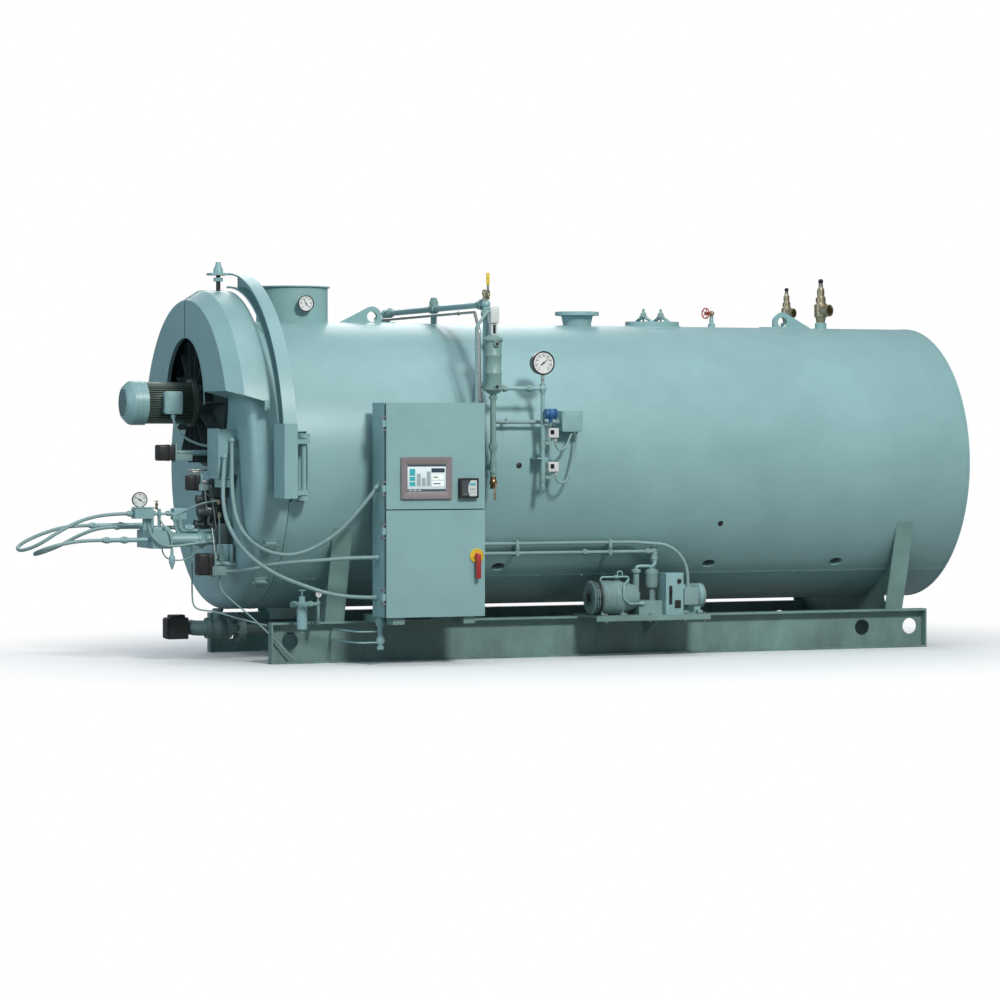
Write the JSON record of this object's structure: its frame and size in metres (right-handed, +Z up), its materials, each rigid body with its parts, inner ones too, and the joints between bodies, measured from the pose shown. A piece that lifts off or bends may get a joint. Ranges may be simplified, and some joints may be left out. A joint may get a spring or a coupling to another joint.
{
  "type": "packaged fire-tube boiler",
  "caption": "Packaged horizontal fire-tube steam boiler on a channel base, with a davit-hung burner head, control cabinet, water column and compressor shelf.",
  "frame": {"origin": "on the floor, in the middle of the base, under the middle cross member", "axes": "+X along the shell away from the burner head, +Z up, the control cabinet on the -Y side"},
  "size_m": [7.477, 2.7498, 2.968],
  "materials": {
    "paint": "semi-gloss pale teal enamel",
    "frame_paint": "satin teal enamel, a little dusty",
    "motor_paint": "satin grey-green enamel",
    "furnace_steel": "matt, heat-darkened",
    "brass": "dull cast brass",
    "plain_steel": "zinc plated",
    "black_plastic": "satin black",
    "dial_case": "black case with a white dial",
    "white_plastic": "satin white",
    "blue_paint": "semi-gloss blue",
    "yellow": "satin yellow sleeve",
    "red": "semi-gloss red",
    "hose_rubber": "braid-covered rubber",
    "conduit_cover": "ribbed grey jacket"
  },
  "bodies": {
    "boiler": {"boiler_shell": "paint", "handhole_covers": "paint", "rear_head": "paint", "flue_collar": "paint", "lifting_lugs": "paint", "steam_nozzle": "paint", "manway_ring": "paint", "manway_cover": "paint", "side_junction_box": "paint", "cabinet_body": "paint", "davit_hinge": "paint", "compressor_drive": "paint", "column_piping": "paint", "gauge_piping": "paint", "conduit_runs": "paint", "gas_line": "paint", "filter_regulator": "paint", "base_rails": "frame_paint", "base_cross_members": "frame_paint", "shell_saddles": "frame_paint", "rail_brackets": "frame_paint", "air_compressor": "motor_paint", "water_columns": "motor_paint", "front_tube_sheet": "furnace_steel", "furnace_tube": "furnace_steel", "safety_valves": "brass", "vent_valve": "brass", "drain_leg": "brass", "top_valve": "brass", "cabinet_hinges": "plain_steel", "gas_valve_actuator": "black_plastic", "dial_gauges": "dial_case", "pressure_controls": "white_plastic", "pressure_transmitter": "blue_paint", "flex_conduit_upper": "conduit_cover", "flex_conduit_lower": "conduit_cover", "flex_conduit_drive": "conduit_cover"},
    "front_head": {"davit_arm": "paint", "front_head": "paint", "burner_throat": "furnace_steel", "air_cowl": "paint", "fan_inlet": "motor_paint", "blower_motor": "motor_paint", "head_junction_box": "paint", "burner_manifold": "paint", "burner_gauge": "dial_case", "burner_actuators": "black_plastic", "oil_hose_upper": "hose_rubber", "oil_hose_lower": "hose_rubber", "motor_lead": "hose_rubber"},
    "upper_door": {"cabinet_upper_door": "paint", "operator_screen": "black_plastic", "burner_controller": "black_plastic"},
    "lower_door": {"cabinet_lower_door": "paint", "disconnect_plate": "yellow"},
    "disconnect_handle": {"disconnect_handle": "red"},
    "top_valve_lever": {"top_valve_lever": "yellow"},
    "drain_lever": {"drain_lever": "yellow"},
    "vent_handwheel": {"vent_handwheel": "red"}
  },
  "joints": [
    {"name": "head_swing", "type": "hinge", "parent": "boiler", "child": "front_head", "pos_m": [-2.6, -1.15, 1.45], "axis": [0, 0, 1], "range_deg": [0, 100], "deforming": ["flex_conduit_upper", "flex_conduit_lower", "flex_conduit_drive"]},
    {"name": "upper_door_swing", "type": "hinge", "parent": "boiler", "child": "upper_door", "pos_m": [-2.074, -1.39, 1.53], "axis": [0, 0, -1], "range_deg": [0, 110]},
    {"name": "lower_door_swing", "type": "hinge", "parent": "boiler", "child": "lower_door", "pos_m": [-2.074, -1.39, 0.75], "axis": [0, 0, -1], "range_deg": [0, 110]},
    {"name": "disconnect_turn", "type": "hinge", "parent": "lower_door", "child": "disconnect_handle", "pos_m": [-1.355, -1.42, 0.798], "axis": [0, 1, 0], "range_deg": [0, 90]},
    {"name": "top_valve_turn", "type": "hinge", "parent": "boiler", "child": "top_valve_lever", "pos_m": [-1.15, -1.12, 2.712], "axis": [0, 1, 0], "range_deg": [0, 90]},
    {"name": "drain_turn", "type": "hinge", "parent": "boiler", "child": "drain_lever", "pos_m": [-1.15, -1.26, 1.314], "axis": [0, -1, 0], "range_deg": [0, 90]},
    {"name": "vent_turn", "type": "hinge", "parent": "boiler", "child": "vent_handwheel", "pos_m": [1.215, 0, 2.641], "axis": [-0.9397, -0.342, 0], "continuous": true}
  ]
}
